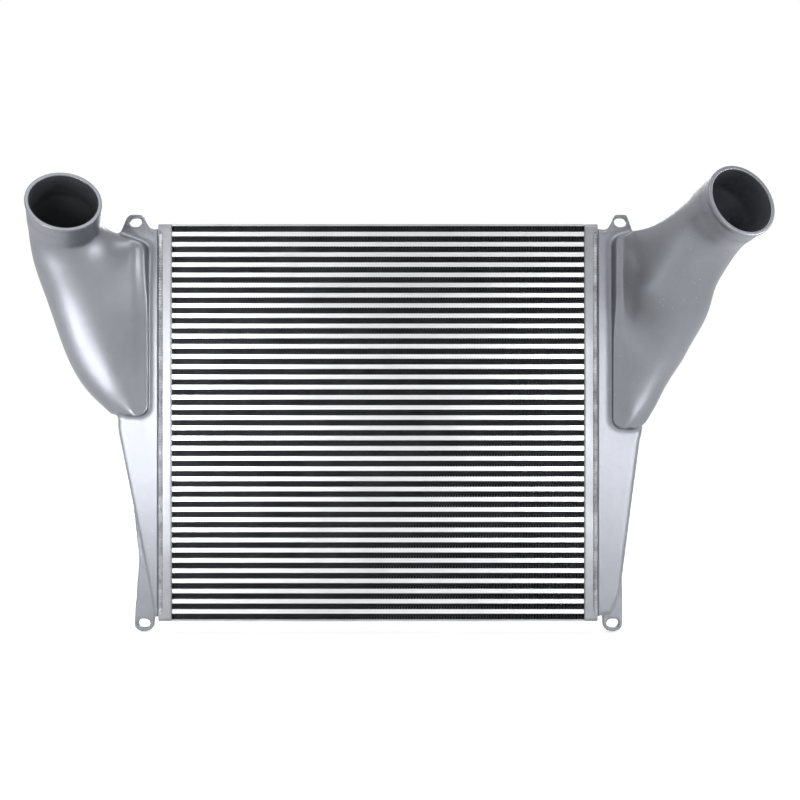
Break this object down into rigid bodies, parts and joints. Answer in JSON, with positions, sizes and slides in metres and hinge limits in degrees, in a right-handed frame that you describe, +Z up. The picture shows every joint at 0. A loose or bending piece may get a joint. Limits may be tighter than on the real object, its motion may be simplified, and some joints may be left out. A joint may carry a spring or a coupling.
{
  "type": "truck intercooler",
  "caption": "Wide charge air cooler: a brazed core of flat tubes and corrugated fins between two cast side tanks with round hose ends and slotted lugs.",
  "frame": {"origin": "midway between the two lower lug slots, in the middle of the lugs' thickness", "axes": "+X to the right seen from the side that the pipes point to, -Y towards that side, +Z up"},
  "size_m": [1.0301, 0.2632, 0.6741],
  "materials": {
    "cast_tank": "satin sand-cast aluminium with fine pits",
    "header_sheet": "bright rolled sheet",
    "side_plate": "satin rolled sheet",
    "tube_stock": "bright extruded",
    "fin_stock": "thin bright foil, dark in its depth"
  },
  "bodies": {
    "root": {"tank_left": "cast_tank", "tank_right": "cast_tank", "header_left": "header_sheet", "header_right": "header_sheet", "side_plate_bottom": "side_plate", "side_plate_top": "side_plate", "tube_01": "tube_stock", "tube_02": "tube_stock", "tube_03": "tube_stock", "tube_04": "tube_stock", "tube_05": "tube_stock", "tube_06": "tube_stock", "tube_07": "tube_stock", "tube_08": "tube_stock", "tube_09": "tube_stock", "tube_10": "tube_stock", "tube_11": "tube_stock", "tube_12": "tube_stock", "tube_13": "tube_stock", "tube_14": "tube_stock", "tube_15": "tube_stock", "tube_16": "tube_stock", "tube_17": "tube_stock", "tube_18": "tube_stock", "tube_19": "tube_stock", "tube_20": "tube_stock", "tube_21": "tube_stock", "tube_22": "tube_stock", "tube_23": "tube_stock", "tube_24": "tube_stock", "tube_25": "tube_stock", "tube_26": "tube_stock", "tube_27": "tube_stock", "tube_28": "tube_stock", "tube_29": "tube_stock", "tube_30": "tube_stock", "tube_31": "tube_stock", "tube_32": "tube_stock", "tube_33": "tube_stock", "tube_34": "tube_stock", "tube_35": "tube_stock", "tube_36": "tube_stock", "tube_37": "tube_stock", "tube_38": "tube_stock", "fin_strips": "fin_stock"}
  },
  "joints": []
}
